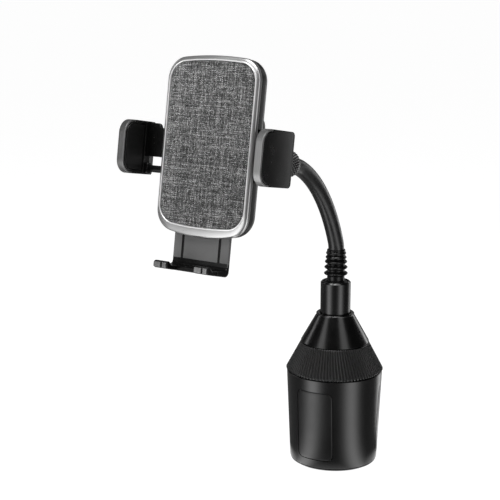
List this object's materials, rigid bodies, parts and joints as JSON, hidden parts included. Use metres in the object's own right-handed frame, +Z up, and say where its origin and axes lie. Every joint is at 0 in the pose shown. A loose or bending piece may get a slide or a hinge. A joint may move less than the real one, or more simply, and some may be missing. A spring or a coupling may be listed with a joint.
{
  "type": "car phone mount",
  "caption": "Cup-holder car phone mount with spreading grips, a bendable neck, a ball joint, and a fabric-faced charging head with sliding side jaws and a pull-out foot.",
  "frame": {"origin": "centre of the base's underside, where it stands on the floor of the cup holder", "axes": "+Z up along the base's axis, -Y the way the charging face looks, +X to the right of the head as seen from its face's side with +Z up and the view along +Y"},
  "size_m": [0.1035, 0.2011, 0.2837],
  "materials": {
    "black_plastic": "satin moulded black plastic",
    "black_rubber": "smooth matt rubber",
    "satin_silver": "satin silver",
    "grey_trim": "fine brushed grey",
    "heather_fabric": "woven heather, light and dark threads",
    "steel": "machined",
    "copper": "wound copper wire",
    "ferrite": "matt",
    "circuit_board": "solder mask",
    "nylon": "natural nylon"
  },
  "bodies": {
    "base": {"non_slip_foot": "black_rubber", "base_bottom_cap": "black_plastic", "base_shell": "black_plastic", "slide_frame_lower": "nylon", "slide_frame_upper": "nylon", "centre_column": "steel", "upper_cone": "black_plastic", "neck_sleeve": "black_plastic", "bellows": "black_rubber", "neck_root": "steel"},
    "ring": {"knurled_ring": "black_plastic", "cam_disc": "nylon"},
    "pad_1": {"pad_carrier_1": "black_plastic", "pad_grip_1": "black_rubber"},
    "pad_2": {"pad_carrier_2": "black_plastic", "pad_grip_2": "black_rubber"},
    "pad_3": {"pad_carrier_3": "black_plastic", "pad_grip_3": "black_rubber"},
    "neck_1": {"neck_segment_1": "black_rubber"},
    "neck_2": {"neck_segment_2": "black_rubber"},
    "neck_3": {"neck_segment_3": "black_rubber"},
    "neck_end": {"neck_end_core": "black_rubber", "knurled_collar": "black_plastic", "ball_stud": "steel"},
    "liner": {"socket_liner": "nylon"},
    "cup": {"pressure_cup": "nylon"},
    "head": {"ball_socket": "black_plastic", "rear_boss": "black_plastic", "rear_cover": "black_plastic", "bezel": "satin_silver", "front_plate": "black_plastic", "fabric_face": "heather_fabric", "charging_coil": "copper", "ferrite_sheet": "ferrite", "circuit_board": "circuit_board", "usb_c_socket": "steel", "pinion_pin": "steel", "cover_screw_1": "steel", "cover_screw_2": "steel", "cover_screw_3": "steel", "cover_screw_4": "steel"},
    "nut": {"lock_nut": "black_plastic"},
    "pinion_gear": {"pinion": "nylon"},
    "left_jaw": {"arm_plate_left": "black_plastic", "arm_rod_left": "black_plastic", "arm_rack_left": "nylon", "jaw_left": "black_plastic", "jaw_pad_left": "black_rubber", "jaw_trim_left": "grey_trim"},
    "right_jaw": {"arm_plate_right": "black_plastic", "arm_rod_right": "black_plastic", "arm_rack_right": "nylon", "jaw_right": "black_plastic", "jaw_pad_right": "black_rubber", "jaw_trim_right": "grey_trim"},
    "foot": {"foot_bracket": "black_plastic", "foot_pad_left": "black_rubber", "foot_pad_right": "black_rubber"}
  },
  "joints": [
    {"name": "ring_turn", "type": "hinge", "parent": "base", "child": "ring", "pos_m": [0, 0, 0.0745], "axis": [0, 0, 1], "range_deg": [0, 100]},
    {"name": "pad_1_out", "type": "slide", "parent": "base", "child": "pad_1", "axis": [0.1045, -0.9945, 0], "range_m": [0, 0.01201]},
    {"name": "pad_2_out", "type": "slide", "parent": "base", "child": "pad_2", "axis": [0.809, 0.5878, 0], "range_m": [0, 0.01201]},
    {"name": "pad_3_out", "type": "slide", "parent": "base", "child": "pad_3", "axis": [-0.9135, 0.4067, 0], "range_m": [0, 0.01201]},
    {"name": "neck_bend_1", "type": "hinge", "parent": "base", "child": "neck_1", "pos_m": [0, 0, 0.1512], "axis": [1, 0, 0], "range_deg": [-20, 20]},
    {"name": "neck_lean", "type": "hinge", "parent": "neck_1", "child": "neck_2", "pos_m": [0, -0.0096, 0.17217], "axis": [0, 0.8674, 0.4977], "range_deg": [-20, 20]},
    {"name": "neck_bend_2", "type": "hinge", "parent": "neck_2", "child": "neck_3", "pos_m": [0, -0.02279, 0.19095], "axis": [1, 0, 0], "range_deg": [-20, 20]},
    {"name": "neck_bend_3", "type": "hinge", "parent": "neck_3", "child": "neck_end", "pos_m": [0, -0.04038, 0.20563], "axis": [1, 0, 0], "range_deg": [-20, 20]},
    {"name": "head_tilt", "type": "hinge", "parent": "neck_end", "child": "liner", "pos_m": [0, -0.09755, 0.22609], "axis": [0.9999, 0.0027, 0.0149], "range_deg": [-30, 15]},
    {"name": "head_swivel", "type": "hinge", "parent": "liner", "child": "cup", "pos_m": [0, -0.09755, 0.22609], "axis": [-0.0152, 0.175, 0.9845], "range_deg": [-22, 22]},
    {"name": "head_rotate", "type": "hinge", "parent": "cup", "child": "head", "pos_m": [0, -0.09755, 0.22609], "axis": [0, -0.9846, 0.175], "continuous": true},
    {"name": "nut_turn", "type": "hinge", "parent": "head", "child": "nut", "pos_m": [0, -0.09755, 0.22609], "axis": [0, -0.9846, 0.175], "range_deg": [-90, 0]},
    {"name": "jaw_left_slide", "type": "slide", "parent": "head", "child": "left_jaw", "axis": [0.9999, 0.0027, 0.0149], "range_m": [0, 0.009]},
    {"name": "jaw_right_slide", "type": "slide", "parent": "head", "child": "right_jaw", "axis": [-0.9999, -0.0027, -0.0149], "range_m": [0, 0.009]},
    {"name": "pinion_turn", "type": "hinge", "parent": "head", "child": "pinion_gear", "pos_m": [0, -0.14087, 0.23379], "axis": [0, -0.9846, 0.175], "range_deg": [-86, 0]},
    {"name": "foot_slide", "type": "slide", "parent": "head", "child": "foot", "axis": [-0.0152, 0.175, 0.9845], "range_m": [0, 0.014]}
  ],
  "couplings": [
    {"joint": "pad_1_out", "follows": "ring_turn", "m_per_rad": 0.0068755},
    {"joint": "pad_2_out", "follows": "ring_turn", "m_per_rad": 0.0068755},
    {"joint": "pad_3_out", "follows": "ring_turn", "m_per_rad": 0.0068755},
    {"joint": "jaw_right_slide", "follows": "jaw_left_slide", "ratio": 1},
    {"joint": "pinion_turn", "follows": "jaw_left_slide", "rad_per_m": -166.67}
  ]
}
